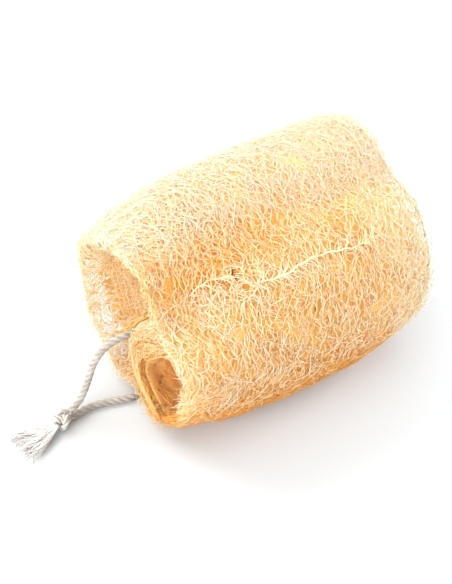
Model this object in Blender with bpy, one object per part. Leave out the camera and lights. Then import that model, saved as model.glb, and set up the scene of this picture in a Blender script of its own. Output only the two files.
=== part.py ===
"""A natural loofah scrubber: a cut length of dried luffa gourd lying on its side, with a knotted cord loop.

Metres, +Z up. +X runs along the gourd from its near cut end, where the cord comes out, to its far cut end.
-Y is the front side, and the origin is the middle of the gourd's base, on the surface that it lies on.
Round a cross-section, angles are counted from the front: 0 is the front, 90 the top, 180 the back, -90 the base.
"""

import math

import bmesh
import bpy
from mathutils import Vector

# Gourd, outside
LENGTH = 0.114
AXIS_HEIGHT = 0.0445
NEAR_RADIUS = 0.0445
MIDDLE_RADIUS = 0.0495
FAR_RADIUS = 0.0462
TALLNESS = 1.045
NEAR_SHOULDER = 0.0015
FAR_SHOULDER = 0.0015
SHOULDER_REACH = 0.06

# Folds of the outer wall: angle and half-width round the gourd in degrees, depth, and place and reach along it
# as shares of the length. A negative depth is a lobe that stands out.
FOLDS = (
    (43.0, 18.0, 0.0080, 0.00, 0.30),
    (72.0, 17.0, 0.0060, 0.50, 0.33),
    (72.0, 15.0, 0.0060, 1.00, 0.22),
    (18.0, 15.0, -0.0055, 0.00, 0.20),
    (70.0, 13.0, -0.0035, 0.00, 0.20),
    (120.0, 30.0, 0.0045, 0.00, 0.14),
    (-142.0, 18.0, -0.0030, 0.00, 0.25),
    (-128.0, 7.0, 0.0035, 0.00, 0.35),
    (-90.0, 14.0, 0.0125, 0.00, 0.25),
    (-50.0, 24.0, 0.0045, 0.00, 0.16),
    (125.0, 32.0, -0.0025, 1.00, 0.20),
    (-40.0, 35.0, 0.0030, 1.00, 0.15),
)

# Layers of the gourd
WALL = 0.0030
LINING = 0.0012
SEPTUM = 0.0024
CORE_RADIUS = 0.0045
CORE_Y = -0.0050
CORE_Z = AXIS_HEIGHT + 0.0110
GAP = 0.0003
SEPTUM_END_GAP = 0.0016
FRONT_SEPTUM_ANGLE = 45.0
BOTTOM_SEPTUM_ANGLE = -81.0
REAR_SEPTUM_ANGLE = -129.0
STATIONS = 12
WALL_COLUMNS = 60
CORE_SIDES = 12
SHARPEST_SMOOTH = 40.0
STRAND_ROUNDING = 2

# Veins: thick strands on the outside. Angle and share of the length at the start and at the end.
VEIN_RADIUS = 0.0006
VEIN_LIFT = 0.0006
VEIN_POINTS = 12
VEIN_SWAY = 0.8
VEIN_WAVES = 8.0
VEINS = {
    "vein_front_main": ((47.0, 0.32), (41.0, 0.79)),
    "vein_front_short": ((55.0, 0.15), (52.0, 0.33)),
    "vein_top": ((151.0, 0.20), (156.0, 0.74)),
    "vein_rear": ((196.0, 0.25), (203.0, 0.82)),
    "vein_lower_front": ((-49.0, 0.30), (-46.0, 0.78)),
}

# Cord
CORD_RADIUS = 0.0016
CORD_Y = 0.0012
HINGE_X = -LENGTH / 2 - 0.001
UPPER_EXIT_Z = AXIS_HEIGHT - 0.0042
FLOOR_Z = CORD_RADIUS
CORD_STEP = 0.0036
INSIDE_ROUTE = (
    (HINGE_X + CORD_RADIUS + GAP, CORD_Y, UPPER_EXIT_Z),
    (-0.0500, CORD_Y, AXIS_HEIGHT - 0.0046),
    (-0.0430, CORD_Y, AXIS_HEIGHT - 0.0066),
    (-0.0365, CORD_Y, AXIS_HEIGHT - 0.0110),
    (-0.0318, CORD_Y, AXIS_HEIGHT - 0.0175),
    (-0.0304, CORD_Y, AXIS_HEIGHT - 0.0245),
    (-0.0322, CORD_Y, AXIS_HEIGHT - 0.0310),
    (-0.0368, CORD_Y, AXIS_HEIGHT - 0.0360),
    (-0.0425, CORD_Y, AXIS_HEIGHT - 0.0400),
    (-0.0480, CORD_Y, AXIS_HEIGHT - 0.0424),
    (-0.0520, CORD_Y, FLOOR_Z),
    (HINGE_X + CORD_RADIUS + GAP, CORD_Y, FLOOR_Z),
)
UPPER_ROUTE = (
    (HINGE_X, CORD_Y, UPPER_EXIT_Z),
    (-0.0616, 0.0021, AXIS_HEIGHT - 0.0050),
    (-0.0654, 0.0031, AXIS_HEIGHT - 0.0076),
    (-0.0683, 0.0039, AXIS_HEIGHT - 0.0111),
    (-0.0711, 0.0046, AXIS_HEIGHT - 0.0162),
    (-0.0728, 0.0050, AXIS_HEIGHT - 0.0213),
    (-0.0746, 0.0054, AXIS_HEIGHT - 0.0270),
    (-0.0767, 0.0057, AXIS_HEIGHT - 0.0323),
    (-0.0790, 0.0057, AXIS_HEIGHT - 0.0360),
    (-0.0823, 0.0054, AXIS_HEIGHT - 0.0384),
)
LOWER_ROUTE = (
    (HINGE_X, CORD_Y, FLOOR_Z),
    (-0.0615, 0.0022, FLOOR_Z),
    (-0.0660, 0.0038, FLOOR_Z),
    (-0.0705, 0.0050, FLOOR_Z),
    (-0.0750, 0.0056, FLOOR_Z),
    (-0.0795, 0.0054, FLOOR_Z),
    (-0.0832, 0.0048, FLOOR_Z),
)
KNOT_CENTRE = Vector((-0.0876, 0.0042, 0.0040))
KNOT_RADIUS = 0.0044
KNOT_HEIGHT = 0.0076
KNOT_SEGMENTS = 20
KNOT_RINGS = 10
TAIL_RADIUS = 0.0007
TAIL_COUNT = 6
TAIL_LENGTH = 0.0168
TAIL_START = KNOT_RADIUS + TAIL_RADIUS + GAP
TAIL_HEADING = 187.0
TAIL_FAN = 40.0
TAIL_MOUTH = 62.0
TAIL_POINTS = 9
TAIL_LEAVING_LIFT = 0.0012
TAIL_UPPER_REST = 0.0016
TAIL_LOWER_REST = 0.0001
TAIL_DROP = 1.6
TAIL_SWAY = 0.0007
TAIL_WAVES = 5.0
WALL_HOLE_RADIUS = 0.0024
WALL_HOLE_MIDDLE = Vector((-0.0420, CORD_Y, AXIS_HEIGHT - 0.0396))
WALL_HOLE_SLOPE = 32.0
WALL_HOLE_LENGTH = 0.024
WALL_HOLE_SIDES = 16

# Rounding of a cord leg's start, as angles from its side to its tip
START_TURNS = (75.0, 50.0, 25.0)

# Finishes: colour and roughness
FIBRE = ((0.86, 0.66, 0.38), 0.75)
INNER_FIBRE = ((0.82, 0.55, 0.26), 0.75)
VEIN_FIBRE = ((0.93, 0.80, 0.58), 0.70)
COTTON = ((0.90, 0.88, 0.84), 0.85)


def clear_scene():
    for thing in list(bpy.data.objects):
        bpy.data.objects.remove(thing)


def material(name, colour, roughness):
    made = bpy.data.materials.new(name)
    made.use_nodes = True
    shader = made.node_tree.nodes["Principled BSDF"]
    shader.inputs["Base Color"].default_value = (*colour, 1.0)
    shader.inputs["Roughness"].default_value = roughness
    shader.inputs["Metallic"].default_value = 0.0
    return made


def empty(name, place):
    made = bpy.data.objects.new(name, None)
    made.location = place
    bpy.context.scene.collection.objects.link(made)
    return made


def add_object(name, data, finish, parent):
    """Links an object whose data is in world coordinates, keeping it there under its parent."""
    made = bpy.data.objects.new(name, data)
    made.data.materials.append(finish)
    bpy.context.scene.collection.objects.link(made)
    made.parent = parent
    made.location = -parent.location
    return made


def mesh_from(name, points, faces):
    built = bmesh.new()
    corners = [built.verts.new(point) for point in points]
    for face in faces:
        built.faces.new([corners[index] for index in face])
    bmesh.ops.recalc_face_normals(built, faces=built.faces)
    mesh = bpy.data.meshes.new(name)
    built.to_mesh(mesh)
    built.free()
    mesh.shade_smooth()
    mesh.set_sharp_from_angle(angle=math.radians(SHARPEST_SMOOTH))
    return mesh


def stations():
    """Shares of the length, closer together towards the cut ends."""
    return [(1 - math.cos(math.pi * step / STATIONS)) / 2 for step in range(STATIONS + 1)]


def angle_between(first, second):
    return (first - second + 180.0) % 360.0 - 180.0


def outer_radius(share, angle):
    """The outer wall's distance from the gourd's axis, before its height is stretched and its base flattened."""
    bulge = MIDDLE_RADIUS - (NEAR_RADIUS + FAR_RADIUS) / 2
    radius = NEAR_RADIUS * (1 - share) + FAR_RADIUS * share + 4 * bulge * share * (1 - share)
    radius -= NEAR_SHOULDER * math.exp(-share / SHOULDER_REACH)
    radius -= FAR_SHOULDER * math.exp(-(1 - share) / SHOULDER_REACH)
    for fold_angle, width, depth, place, reach in FOLDS:
        across = angle_between(angle, fold_angle) / width
        along = (share - place) / reach
        radius -= depth * math.exp(-across * across - along * along)
    return radius


def section_point(share, angle, inward):
    """A point of the section at this share of the length, a distance inward from the outer wall's surface."""
    turn = math.radians(angle)
    across = math.cos(turn)
    upward = TALLNESS * math.sin(turn)
    stretch = math.hypot(across, upward)
    distance = outer_radius(share, angle) * stretch - inward
    height = max(distance * upward / stretch, inward - AXIS_HEIGHT)
    return Vector(((share - 0.5) * LENGTH, -distance * across / stretch, AXIS_HEIGHT + height))


def column_angles(start, end):
    """The wall's own column angles from start to end, so that the layers' facets lie parallel."""
    step = 360.0 / WALL_COLUMNS
    return [step * column for column in range(math.ceil(start / step), math.floor(end / step) + 1)]


def ring_shell(name, first_inward, second_inward):
    """A closed tube wall between two depths below the outside, with flat cut ends."""
    angles = [360.0 * column / WALL_COLUMNS for column in range(WALL_COLUMNS)]
    shares = stations()
    points = []
    for inward in (first_inward, second_inward):
        points += [section_point(share, angle, inward) for share in shares for angle in angles]
    rows, columns = len(shares), WALL_COLUMNS
    faces = []
    for layer in (0, rows * columns):
        for row in range(rows - 1):
            for column in range(columns):
                beside = (column + 1) % columns
                here = layer + row * columns
                faces.append((here + column, here + beside, here + columns + beside, here + columns + column))
    for row in (0, rows - 1):
        for column in range(columns):
            beside = (column + 1) % columns
            outside, inside = row * columns, (rows + row) * columns
            faces.append((outside + column, outside + beside, inside + beside, inside + column))
    return mesh_from(name, points, faces)


def panel(name, outline_at):
    """A closed solid swept along the gourd through one closed outline of points for each station."""
    outlines = [outline_at(share) for share in stations()]
    count = len(outlines[0])
    points = [point for outline in outlines for point in outline]
    faces = []
    for row in range(len(outlines) - 1):
        for corner in range(count):
            beside = (corner + 1) % count
            here = row * count
            faces.append((here + corner, here + beside, here + count + beside, here + count + corner))
    half = count // 2
    for row in (0, len(outlines) - 1):
        for corner in range(half - 1):
            here = row * count
            faces.append((here + corner, here + corner + 1, here + count - 2 - corner, here + count - 1 - corner))
    return mesh_from(name, points, faces)


def lining(name, start, end):
    """The thin lengthwise-fibre layer inside one channel, between the septa at two angles."""
    angles = column_angles(start, end)

    def outline(share):
        outer = [section_point(share, angle, WALL + GAP) for angle in angles]
        inner = [section_point(share, angle, WALL + GAP + LINING) for angle in angles]
        return outer + inner[::-1]

    return panel(name, outline)


def septum(name, angle):
    """A web from the core to the wall."""

    def outline(share):
        wall_point = section_point(share, angle, WALL)
        core_point = Vector((wall_point.x, CORE_Y, CORE_Z))
        outward = (wall_point - core_point).normalized()
        sideways = Vector((0, -outward.z, outward.y)) * (SEPTUM / 2)
        inner_end = core_point + outward * (CORE_RADIUS + GAP)
        outer_end = wall_point - outward * SEPTUM_END_GAP
        return [inner_end + sideways, outer_end + sideways, outer_end - sideways, inner_end - sideways]

    return panel(name, outline)


def core(name):
    """The solid strand bundle down the middle, where the three septa meet."""

    def outline(share):
        place = (share - 0.5) * LENGTH
        turns = [math.tau * (side + 0.5) / CORE_SIDES for side in range(CORE_SIDES)]
        return [
            Vector((place, CORE_Y + CORE_RADIUS * math.cos(turn), CORE_Z + CORE_RADIUS * math.sin(turn)))
            for turn in turns
        ]

    return panel(name, outline)


def smooth_route(points, step):
    """Points about a step apart on the smooth curve through a route's own points."""
    padded = [2 * points[0] - points[1]] + list(points) + [2 * points[-1] - points[-2]]
    found = [points[0]]
    for index in range(1, len(padded) - 2):
        before, start, end, after = padded[index - 1 : index + 3]
        pieces = max(1, round((end - start).length / step))
        for piece in range(1, pieces + 1):
            t = piece / pieces
            found.append(
                0.5
                * (
                    2 * start
                    + (end - before) * t
                    + (2 * before - 5 * start + 4 * end - after) * t**2
                    + (3 * start - before - 3 * end + after) * t**3
                )
            )
    return found


def tube_curve(name, points, radii, radius):
    """A round strand along points, as a curve with filled caps. radii are shares of the radius."""
    curve = bpy.data.curves.new(name, "CURVE")
    curve.dimensions = "3D"
    curve.bevel_depth = radius
    curve.bevel_resolution = STRAND_ROUNDING
    curve.use_fill_caps = True
    spline = curve.splines.new("POLY")
    spline.points.add(len(points) - 1)
    for slot, point, share in zip(spline.points, points, radii):
        slot.co = (*point, 1.0)
        slot.radius = share
    return curve


def rounded_start(points, radius):
    """A half-round start for a strand, whose ball centre is the first point: (points, radius shares)."""
    direction = (points[1] - points[0]).normalized()
    dome = [points[0] - direction * radius * math.sin(math.radians(turn)) for turn in START_TURNS]
    shares = [math.cos(math.radians(turn)) for turn in START_TURNS]
    return dome + points, shares + [1.0] * len(points)


def vein_points(start, end):
    """A strand that waves a little as it runs along the outside of the wall."""
    found = []
    for step in range(VEIN_POINTS + 1):
        t = step / VEIN_POINTS
        angle = start[0] * (1 - t) + end[0] * t + VEIN_SWAY * math.sin(VEIN_WAVES * t)
        share = start[1] * (1 - t) + end[1] * t
        found.append(section_point(share, angle, -(GAP + VEIN_LIFT + VEIN_RADIUS)))
    return found


def knot_mesh(name):
    built = bmesh.new()
    bmesh.ops.create_uvsphere(built, u_segments=KNOT_SEGMENTS, v_segments=KNOT_RINGS, radius=KNOT_RADIUS)
    bmesh.ops.scale(built, vec=(1, 1, KNOT_HEIGHT / 2 / KNOT_RADIUS), verts=built.verts)
    bmesh.ops.translate(built, vec=KNOT_CENTRE, verts=built.verts)
    mesh = bpy.data.meshes.new(name)
    built.to_mesh(mesh)
    built.free()
    mesh.shade_smooth()
    return mesh


def tail_points(index):
    """One yarn of the frayed tails, fanning out from the knot and coming down to the floor."""
    share = index / (TAIL_COUNT - 1) - 0.5
    leaving = math.radians(TAIL_HEADING + TAIL_MOUTH * share)
    heading = math.radians(TAIL_HEADING + TAIL_FAN * share)
    first = KNOT_CENTRE + Vector((math.cos(leaving), math.sin(leaving), 0)) * TAIL_START
    if index % 2:
        leaving_height = first.z + TAIL_LEAVING_LIFT
        rest_height = TAIL_RADIUS + TAIL_UPPER_REST
    else:
        leaving_height = first.z - TAIL_LEAVING_LIFT
        rest_height = TAIL_RADIUS + TAIL_LOWER_REST
    found = []
    for step in range(TAIL_POINTS):
        t = step / (TAIL_POINTS - 1)
        run = TAIL_LENGTH * t
        still_up = (1 - t) ** TAIL_DROP
        sway = TAIL_SWAY * math.sin(TAIL_WAVES * t + index)
        found.append(
            Vector(
                (
                    first.x + run * math.cos(heading) - sway * math.sin(heading) * t,
                    first.y + run * math.sin(heading) + sway * math.cos(heading) * t,
                    leaving_height * still_up + rest_height * (1 - still_up),
                )
            )
        )
    return found


def hole_cutter():
    """A slanted round cutter where the cord passes through the wall at the base."""
    built = bmesh.new()
    bmesh.ops.create_cone(
        built,
        cap_ends=True,
        segments=WALL_HOLE_SIDES,
        radius1=WALL_HOLE_RADIUS,
        radius2=WALL_HOLE_RADIUS,
        depth=WALL_HOLE_LENGTH,
    )
    mesh = bpy.data.meshes.new("wall_hole_cutter")
    built.to_mesh(mesh)
    built.free()
    cutter = bpy.data.objects.new("wall_hole_cutter", mesh)
    cutter.location = WALL_HOLE_MIDDLE
    cutter.rotation_euler = (0, math.radians(90.0 - WALL_HOLE_SLOPE), 0)
    cutter.hide_render = True
    bpy.context.scene.collection.objects.link(cutter)
    return cutter


def cut(thing, cutter):
    modifier = thing.modifiers.new("cord_hole", "BOOLEAN")
    modifier.operation = "DIFFERENCE"
    modifier.object = cutter
    modifier.solver = "EXACT"


def build_gourd():
    fibre = material("luffa_fibre", *FIBRE)
    inner_fibre = material("luffa_inner_fibre", *INNER_FIBRE)
    vein_fibre = material("luffa_vein", *VEIN_FIBRE)
    gourd = empty("gourd", (0, 0, 0))
    cutter = hole_cutter()
    wall = add_object("outer_wall", ring_shell("outer_wall", 0.0, WALL), fibre, gourd)
    cut(wall, cutter)
    for name, angle in (
        ("septum_front", FRONT_SEPTUM_ANGLE),
        ("septum_bottom", BOTTOM_SEPTUM_ANGLE),
        ("septum_rear", REAR_SEPTUM_ANGLE),
    ):
        add_object(name, septum(name, angle), inner_fibre, gourd)
    add_object("core_column", core("core_column"), inner_fibre, gourd)
    linings = {
        "lining_upper": (FRONT_SEPTUM_ANGLE, REAR_SEPTUM_ANGLE + 360.0),
        "lining_front": (BOTTOM_SEPTUM_ANGLE, FRONT_SEPTUM_ANGLE),
        "lining_rear": (REAR_SEPTUM_ANGLE, BOTTOM_SEPTUM_ANGLE),
    }
    for name, (start, end) in linings.items():
        thing = add_object(name, lining(name, start, end), inner_fibre, gourd)
        if name == "lining_rear":
            cut(thing, cutter)
    for name, (start, end) in VEINS.items():
        points = vein_points(start, end)
        add_object(name, tube_curve(name, points, [1.0] * len(points), VEIN_RADIUS), vein_fibre, gourd)


def build_cord():
    cotton = material("cotton_cord", *COTTON)
    gourd_side = smooth_route([Vector(point) for point in INSIDE_ROUTE], CORD_STEP)
    add_object(
        "cord_inside",
        tube_curve("cord_inside", gourd_side, [1.0] * len(gourd_side), CORD_RADIUS),
        cotton,
        bpy.data.objects["gourd"],
    )
    loop = empty("loop_swing_axis", (HINGE_X, CORD_Y, 0))
    for name, route in (("cord_leg_upper", UPPER_ROUTE), ("cord_leg_lower", LOWER_ROUTE)):
        points, shares = rounded_start(smooth_route([Vector(point) for point in route], CORD_STEP), CORD_RADIUS)
        add_object(name, tube_curve(name, points, shares, CORD_RADIUS), cotton, loop)
    add_object("knot", knot_mesh("knot"), cotton, loop)
    tassel = empty("tassel_swing_axis", (KNOT_CENTRE.x, KNOT_CENTRE.y, 0))
    for index in range(TAIL_COUNT):
        points = tail_points(index)
        name = f"tail_yarn_{index + 1}"
        add_object(name, tube_curve(name, points, [1.0] * len(points), TAIL_RADIUS), cotton, tassel)


clear_scene()
build_gourd()
build_cord()
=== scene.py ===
"""Looks of the loofah scrubber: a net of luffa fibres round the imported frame, and its twisted cotton cord.

Metres, in the frame of the CAD model. Angles round the gourd are counted from the front: 0 is the front,
90 the top, 180 the back and -90 the base. Depth is measured from the outside of the wall towards the axis.
A share of the length is 0 at the near end, where the cord is, and 1 at the far end.

A group of strands is (points, radii, tones, outward). points is (strands, steps, 3), radii (strands, steps),
tones (strands,), and outward points away from the surface under the strand. A tone is a place among the
material's colours, from 0 for the darkest to 1 for the palest.
"""

import math

import bpy
import numpy as np
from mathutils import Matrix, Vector
from mathutils.bvhtree import BVHTree


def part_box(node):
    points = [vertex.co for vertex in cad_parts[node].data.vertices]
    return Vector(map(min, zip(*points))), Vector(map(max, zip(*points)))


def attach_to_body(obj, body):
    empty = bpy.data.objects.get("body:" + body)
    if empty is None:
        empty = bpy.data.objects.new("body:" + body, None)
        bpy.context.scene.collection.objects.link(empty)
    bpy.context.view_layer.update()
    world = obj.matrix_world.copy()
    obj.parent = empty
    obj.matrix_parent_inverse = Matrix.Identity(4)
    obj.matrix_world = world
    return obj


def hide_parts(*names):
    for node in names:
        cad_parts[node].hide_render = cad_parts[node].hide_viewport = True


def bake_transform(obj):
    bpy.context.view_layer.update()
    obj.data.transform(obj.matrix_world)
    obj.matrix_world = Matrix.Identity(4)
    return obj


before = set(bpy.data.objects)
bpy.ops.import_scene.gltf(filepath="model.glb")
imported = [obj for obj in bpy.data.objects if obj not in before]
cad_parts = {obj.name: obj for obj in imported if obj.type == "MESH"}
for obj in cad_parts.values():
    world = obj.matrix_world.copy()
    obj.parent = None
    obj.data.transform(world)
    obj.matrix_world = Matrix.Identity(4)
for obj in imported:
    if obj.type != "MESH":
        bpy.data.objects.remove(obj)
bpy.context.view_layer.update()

TAU = math.tau
MM = 0.001

# Camera: where it looks, from where, and how wide
CAMERA_TARGET = Vector((-0.0123, 0.0, 0.0413))
CAMERA_AZIMUTH = -31.5
CAMERA_ELEVATION = 46.8
CAMERA_DISTANCE = 0.46
CAMERA_LENS = 70.4
CAMERA_SENSOR = 36.0

# Gourd
AXIS_HEIGHT = 0.0445
WALL_LOW, WALL_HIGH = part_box("outer_wall")
NEAR_END = WALL_LOW[0]
FAR_END = WALL_HIGH[0]
LENGTH = FAR_END - NEAR_END
MEAN_RADIUS = 0.047
FLOOR_CLEARANCE = 0.3 * MM
LOWEST_SKIN = 0.05 * MM
ALL_ROUND = (0.0, 360.0)
WHOLE_LENGTH = (0.0, 1.0)

# Table of the wall's surface: its size, how far it starts from the cut ends, and the dents that it skips
TABLE_ROWS = 58
TABLE_COLUMNS = 180
TABLE_INSET = 0.2 * MM
TABLE_DENT = 1.2 * MM
RAY_START = 0.08

# Strands of the net
ROW_OVERLAP = 0.92
LENGTHWISE_OVERLAP = 0.9
RING_LEAN = 0.10
RIM_SLACK = 0.2 * MM
FRINGE_ROOT = 2.5 * MM
FRINGE_REACH = (0.4 * MM, 3.6 * MM)
FRINGE_THICKNESS = 3.6 * MM
ROLLED_ANGLES = (62.0, 262.0)
DROOPING_ANGLES = (62.0, 178.0)
STRAY_LIFT = 3.0 * MM

# Where the wall is worn thin, and where its colour is painted lighter or darker as painted light and shade:
# the middle and the width of each place, in degrees
NEAR_THIN, FAR_THIN = (207, 58), (20, 70)
NEAR_TOP = (122, 55)
VEIN_BRANCHING = (54, 4)
# Painted light on the top, painted shade underneath (less of it at the near end) and in the fold, and painted
# light at the far end except on its base
PAINTED_LIGHT_ON_TOP = (130, 52)
PAINTED_SHADE_UNDERNEATH = (-63, 48)
LESS_PAINTED_SHADE_AT_NEAR_END = (-100, 44)
PAINTED_SHADE_IN_FOLD = (66, 14)
FAR_END_BASE = (-72, 46)

# Felted mat and the web behind the front channel. A web's route is (y, z) from the axis, from fold to base
MAT_ROWS, MAT_COLUMNS = 140, 360
MAT_INSET = 0.8 * MM
MAT_DEPTH = 1.15 * MM
SHEET_THICKNESS = 0.4 * MM
WEB_ROWS, WEB_COLUMNS = 110, 72
CORE_ROWS, CORE_COLUMNS = 60, 18
WEB_SPAN = 0.062
WEB_ANGLES = (29.0, -49.0)
WEB_DEPTHS = (0.0042, 0.0018)
WEB_ROUTE = ((-0.0185, 0.0010), (-0.0100, -0.0110), (-0.0102, -0.0192), (-0.0160, -0.0238))
WEB_CLEARANCE = 1.9 * MM
FUNNEL_ANGLES = (47.0, 262.0)
FUNNEL_DEPTH = 0.026
FUNNEL_NARROWING = 0.62
LINING_SPANS = {"lining_upper": (45.0, 231.0), "lining_front": (-81.0, 45.0), "lining_rear": (-129.0, -81.0)}
REAR_SEPTUM_ANGLE = -129.0

# Cord, with the same routes as the CAD model
CORD_RADIUS = 0.0016
CORD_Y = 0.0012
GAP = 0.0003
HINGE_X = -0.058
UPPER_EXIT_Z = AXIS_HEIGHT - 0.0042
FLOOR_Z = CORD_RADIUS
INSIDE_ROUTE = (
    (HINGE_X + CORD_RADIUS + GAP, CORD_Y, UPPER_EXIT_Z),
    (-0.0500, CORD_Y, AXIS_HEIGHT - 0.0046),
    (-0.0430, CORD_Y, AXIS_HEIGHT - 0.0066),
    (-0.0365, CORD_Y, AXIS_HEIGHT - 0.0110),
    (-0.0318, CORD_Y, AXIS_HEIGHT - 0.0175),
    (-0.0304, CORD_Y, AXIS_HEIGHT - 0.0245),
    (-0.0322, CORD_Y, AXIS_HEIGHT - 0.0310),
    (-0.0368, CORD_Y, AXIS_HEIGHT - 0.0360),
    (-0.0425, CORD_Y, AXIS_HEIGHT - 0.0400),
    (-0.0480, CORD_Y, AXIS_HEIGHT - 0.0424),
    (-0.0520, CORD_Y, FLOOR_Z),
    (HINGE_X + CORD_RADIUS + GAP, CORD_Y, FLOOR_Z),
)
UPPER_ROUTE = (
    (HINGE_X, CORD_Y, UPPER_EXIT_Z),
    (-0.0616, 0.0021, AXIS_HEIGHT - 0.0050),
    (-0.0654, 0.0031, AXIS_HEIGHT - 0.0076),
    (-0.0683, 0.0039, AXIS_HEIGHT - 0.0111),
    (-0.0711, 0.0046, AXIS_HEIGHT - 0.0162),
    (-0.0728, 0.0050, AXIS_HEIGHT - 0.0213),
    (-0.0746, 0.0054, AXIS_HEIGHT - 0.0270),
    (-0.0767, 0.0057, AXIS_HEIGHT - 0.0323),
    (-0.0790, 0.0057, AXIS_HEIGHT - 0.0360),
    (-0.0823, 0.0054, AXIS_HEIGHT - 0.0384),
)
LOWER_ROUTE = (
    (HINGE_X, CORD_Y, FLOOR_Z),
    (-0.0615, 0.0022, FLOOR_Z),
    (-0.0660, 0.0038, FLOOR_Z),
    (-0.0705, 0.0050, FLOOR_Z),
    (-0.0750, 0.0056, FLOOR_Z),
    (-0.0795, 0.0054, FLOOR_Z),
    (-0.0832, 0.0048, FLOOR_Z),
)
KNOT_CENTRE = Vector((-0.0876, 0.0042, 0.0040))
PLIES = 3
PLY_SIDES = 12
PLY_RADIUS = 0.00084
PLY_OFFSET = 0.00080
YARN_RIDGE = 0.07
CORD_LAY = 0.0092
KNOT_PLY_RADIUS = 0.72 * MM
KNOT_PLY_OFFSET = 0.8 * MM
KNOT_LAY = 7.5 * MM
INTO_KNOT = 1.5 * MM
INTO_GOURD = 8 * MM
TAIL_YARNS = 6
YARN_THREADS = 16
TAIL_HEADING = 187.0
SPREAD_AT_KNOT, SPREAD_BEYOND = 62.0, 40.0
TAIL_LENGTH = 18.0 * MM

# Light
WORLD_STRENGTH = 1.32
HORIZON_SHARE = 0.35
FLOOR_COLOUR = (0.57, 0.60, 0.615)
FLOOR_HALF_SIDE = 3.0
LIGHTS = (
    ("key", (-0.35, 0.70, 0.80), (0.0, 0.0, 0.04), 0.9, 10.9),
    ("near_fill", (-0.75, -0.15, 0.25), (-0.05, 0.01, 0.05), 0.5, 6.7),
    ("far_fill", (0.68, -0.25, 0.38), (0.04, 0.0, 0.06), 0.5, 6.2),
)
DIFFUSE_BOUNCES = 12
MOST_BOUNCES = 16

# Fibre colours, from the darkest to the palest
PALE_COLOURS = ((0.89, 0.45, 0.10), (0.99, 0.80, 0.45), (1.0, 0.93, 0.74), (1.0, 0.985, 0.92))
WARM_COLOURS = ((0.97, 0.58, 0.17), (1.0, 0.75, 0.33), (1.0, 0.85, 0.49), (1.0, 0.93, 0.68))
MAT_COLOURS = ((0.96, 0.54, 0.11), (1.0, 0.71, 0.25), (1.0, 0.82, 0.40), (1.0, 0.92, 0.62))
CLEAR_COLOURS = ((1.0, 0.70, 0.31), (1.0, 0.79, 0.44), (1.0, 0.87, 0.60), (1.0, 0.94, 0.77))
GLOWING_COLOURS = ((1.0, 0.66, 0.24), (1.0, 0.76, 0.38), (1.0, 0.86, 0.53))
VEIN_COLOURS = ((0.96, 0.80, 0.48), (0.97, 0.86, 0.58), (0.98, 0.91, 0.68))
FIBRE_ROUGHNESS = 0.62
FIBRE_SHINE = 0.08
PALE_SHINE = 0.27
BLOTCH_SPREAD = 0.5
BUMP_DISTANCE = 0.1 * MM

# Veins: routes of (angle, share of the length), with each one's radius in mm at its start and its end.
# The radii are then multiplied by VEIN_THICKENING.
MAIN_VEIN = ((47.0, 0.32), (45.5, 0.43), (47.2, 0.51), (46.5, 0.60), (44.2, 0.69), (44.2, 0.77), (45.5, 0.83))
VEINS = {
    "vein_front_main": (
        (MAIN_VEIN, 0.55, 0.28),
        (((47.0, 0.325), (50.0, 0.305), (55.0, 0.31), (58.0, 0.30)), 0.40, 0.20),
        (((46.5, 0.34), (43.6, 0.32), (42.3, 0.28), (43.9, 0.25)), 0.34, 0.22),
        (((46.4, 0.36), (50.5, 0.362), (55.0, 0.352)), 0.30, 0.16),
    ),
    "vein_front_short": (
        (((54.0, 0.12), (56.0, 0.16), (56.7, 0.195), (55.8, 0.235), (53.9, 0.28)), 0.30, 0.40),
        (((53.6, 0.228), (50.4, 0.209), (47.0, 0.181), (43.0, 0.150)), 0.36, 0.22),
    ),
    "vein_top": ((((151.0, 0.20), (155.0, 0.38), (152.0, 0.56), (156.0, 0.74)), 0.42, 0.3),),
    "vein_rear": ((((196.0, 0.25), (201.0, 0.45), (198.0, 0.65), (203.0, 0.82)), 0.5, 0.3),),
    "vein_lower_front": ((((-49.0, 0.30), (-46.0, 0.46), (-48.5, 0.62), (-46.0, 0.78)), 0.36, 0.26),),
}
VEIN_THICKENING = 1.1
VEIN_TONE, BRANCH_TONE = 0.25, 0.8
VEIN_STEP = 0.9 * MM
BRANCH_STEPS = 10


# ---------------------------------------------------------------- nodes and materials


def new_material(name, roughness, sheen=0.0, shine=0.3):
    made = bpy.data.materials.new(name)
    made.use_nodes = True
    shader = made.node_tree.nodes["Principled BSDF"]
    shader.inputs["Roughness"].default_value = roughness
    shader.inputs["Sheen Weight"].default_value = sheen
    shader.inputs["Specular IOR Level"].default_value = shine
    return made, made.node_tree, shader


def noise_node(tree, scale, detail=2.0):
    coordinates = tree.nodes.new("ShaderNodeTexCoord")
    noise = tree.nodes.new("ShaderNodeTexNoise")
    noise.inputs["Scale"].default_value = scale
    noise.inputs["Detail"].default_value = detail
    tree.links.new(coordinates.outputs["Object"], noise.inputs["Vector"])
    return noise.outputs["Fac"]


def ramp_node(tree, value, colours, first=0.0, last=1.0):
    """A value turned into colours that are evenly spaced between two positions."""
    ramp = tree.nodes.new("ShaderNodeValToRGB")
    elements = ramp.color_ramp.elements
    elements[0].position, elements[1].position = first, last
    elements[0].color = (*colours[0], 1.0)
    elements[1].color = (*colours[-1], 1.0)
    for index, colour in enumerate(colours[1:-1]):
        element = elements.new(first + (last - first) * (index + 1) / (len(colours) - 1))
        element.color = (*colour, 1.0)
    tree.links.new(value, ramp.inputs["Fac"])
    return ramp.outputs["Color"]


def add_bump(tree, shader, height, strength):
    bump = tree.nodes.new("ShaderNodeBump")
    bump.inputs["Strength"].default_value = strength
    bump.inputs["Distance"].default_value = BUMP_DISTANCE
    tree.links.new(height, bump.inputs["Height"])
    tree.links.new(bump.outputs["Normal"], shader.inputs["Normal"])


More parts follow.
